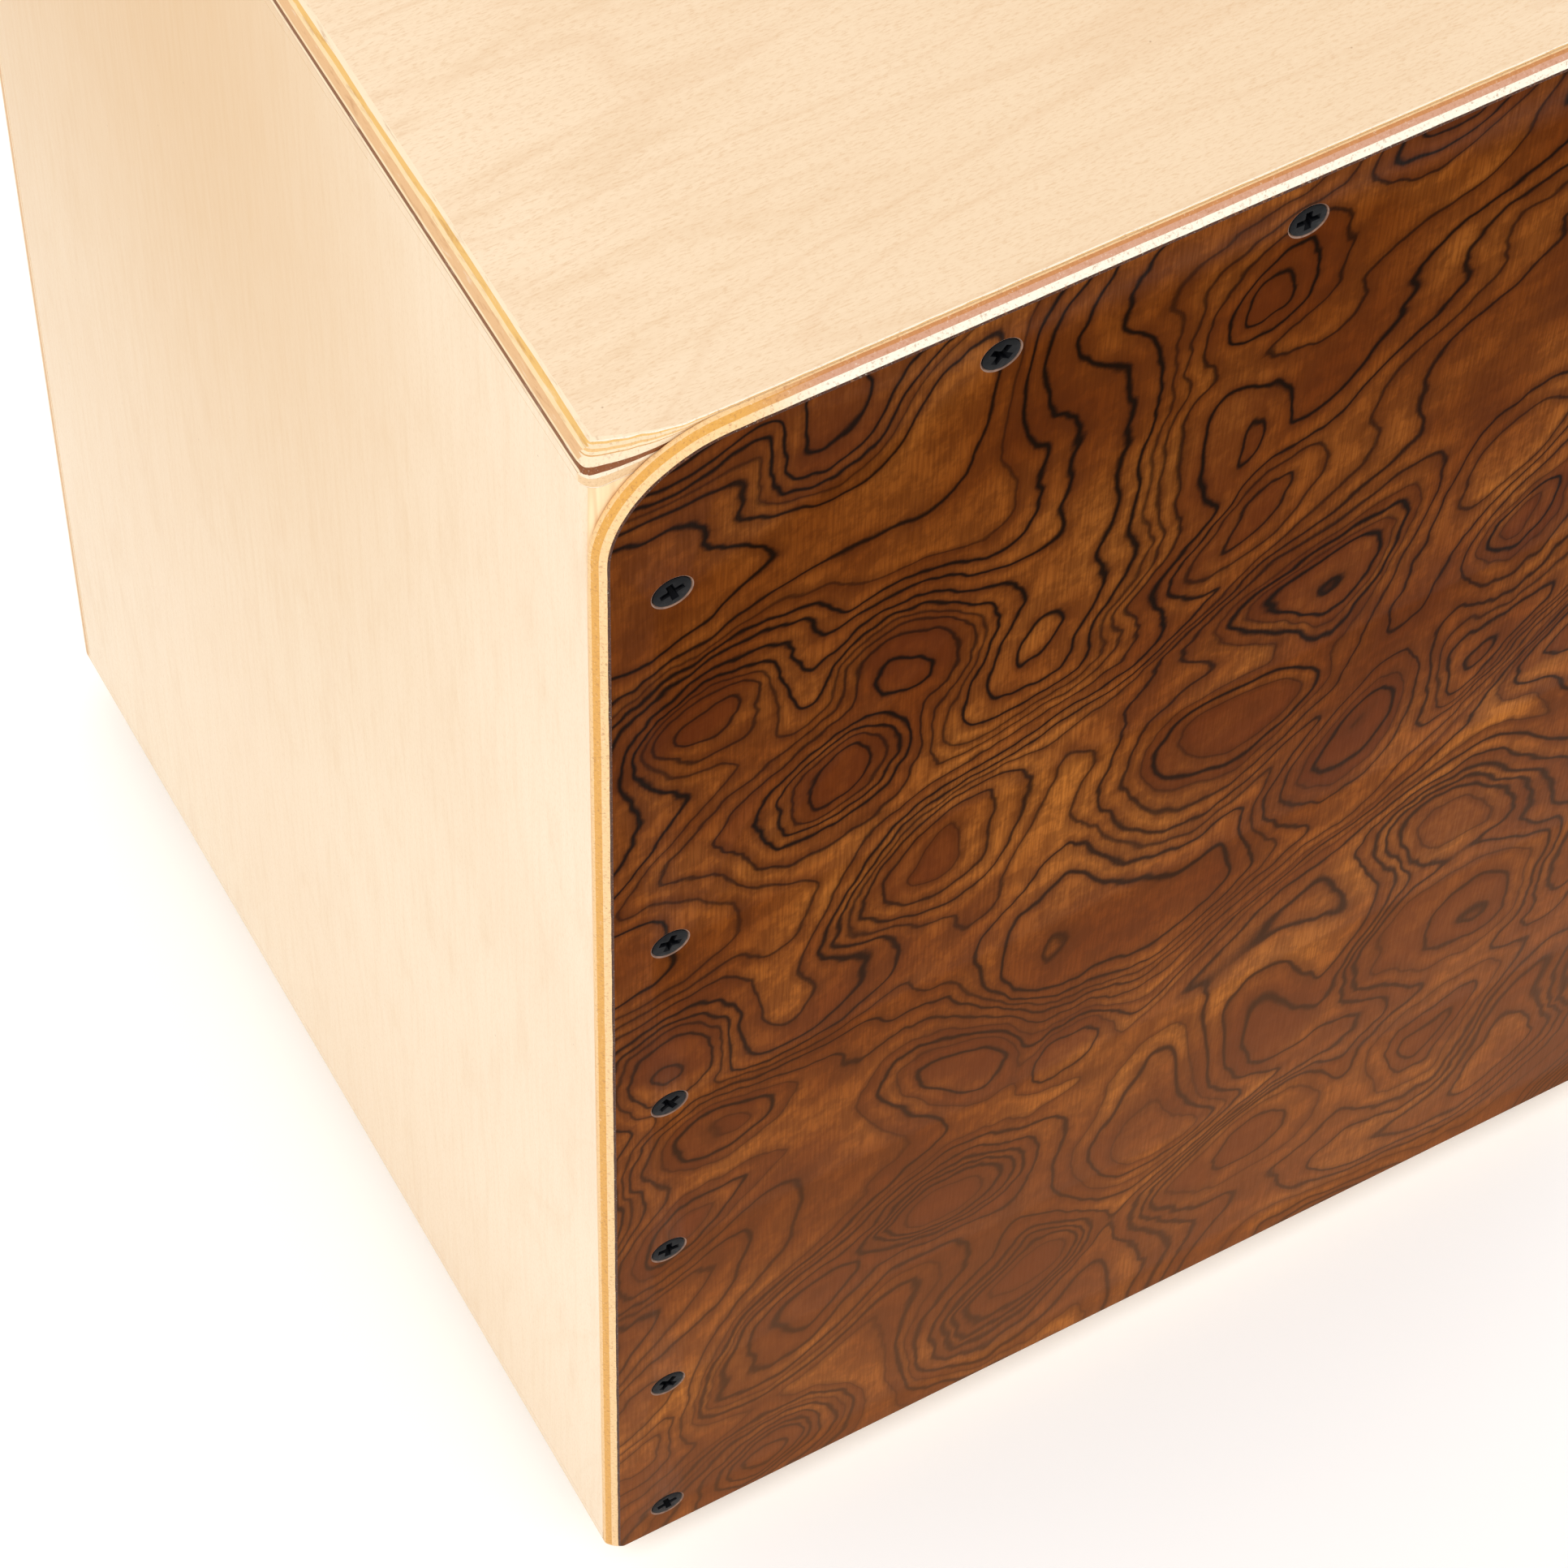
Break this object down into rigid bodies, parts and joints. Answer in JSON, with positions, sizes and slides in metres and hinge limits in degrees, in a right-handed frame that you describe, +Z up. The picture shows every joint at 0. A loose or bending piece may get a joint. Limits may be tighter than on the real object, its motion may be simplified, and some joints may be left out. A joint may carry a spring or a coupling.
{
  "type": "cajon",
  "caption": "Plywood box drum to sit on: burl-veneered playing plate with rounded top corners, screwed to a birch shell, sound port behind, adjustable snare wires inside.",
  "frame": {"origin": "on the floor under the middle of the box, level with the soles of the feet", "axes": "+Z up; the playing plate faces -Y and the sound port faces +Y; +X is the right side seen from the front"},
  "size_m": [0.3, 0.3, 0.457],
  "materials": {
    "birch_plywood": "satin clear lacquer over pale birch veneer, ply lines bare on the edges",
    "burl_veneer_plate": "satin lacquer over dark brown burl veneer, pale ply edge",
    "pine_batten": "bare planed softwood",
    "beech_dowel": "bare turned beech",
    "blackened_screw": "black oxide, slightly glossy",
    "snare_steel": "bright drawn steel",
    "zinc_fastener": "bright zinc plate",
    "brass_insert": "plain turned brass",
    "black_plastic": "fine moulded texture",
    "black_rubber": "matt moulded rubber"
  },
  "bodies": {
    "shell": {"top_panel": "birch_plywood", "bottom_panel": "birch_plywood", "left_side_panel": "birch_plywood", "right_side_panel": "birch_plywood", "rear_panel": "birch_plywood", "front_plate": "burl_veneer_plate", "front_plate_screws": "blackened_screw", "front_cleat_top": "pine_batten", "front_cleat_bottom": "pine_batten", "front_cleat_left": "pine_batten", "front_cleat_right": "pine_batten", "rear_cleat_top": "pine_batten", "rear_cleat_bottom": "pine_batten", "rear_cleat_left": "pine_batten", "rear_cleat_right": "pine_batten", "snare_bearing_block_left": "pine_batten", "snare_bearing_block_right": "pine_batten", "lock_insert": "brass_insert", "rubber_foot_front_left": "black_rubber", "rubber_foot_front_right": "black_rubber", "rubber_foot_rear_left": "black_rubber", "rubber_foot_rear_right": "black_rubber", "foot_washers": "zinc_fastener", "foot_screws": "zinc_fastener"},
    "snare_bar": {"snare_bar": "beech_dowel", "snare_strap_left": "snare_steel", "snare_strap_right": "snare_steel", "snare_wires_left": "snare_steel", "snare_wires_right": "snare_steel", "snare_strap_screws": "zinc_fastener"},
    "lock_knob": {"lock_knob": "black_plastic", "lock_stem": "zinc_fastener"}
  },
  "joints": [
    {"name": "snare_bar_turn", "type": "hinge", "parent": "shell", "child": "snare_bar", "pos_m": [0, -0.1195, 0.338], "axis": [-1, 0, 0], "range_deg": [0, 90]},
    {"name": "lock_knob_turn", "type": "hinge", "parent": "shell", "child": "lock_knob", "pos_m": [0.118, -0.0945, 0.338], "axis": [0, 1, 0], "range_deg": [0, 270]}
  ]
}
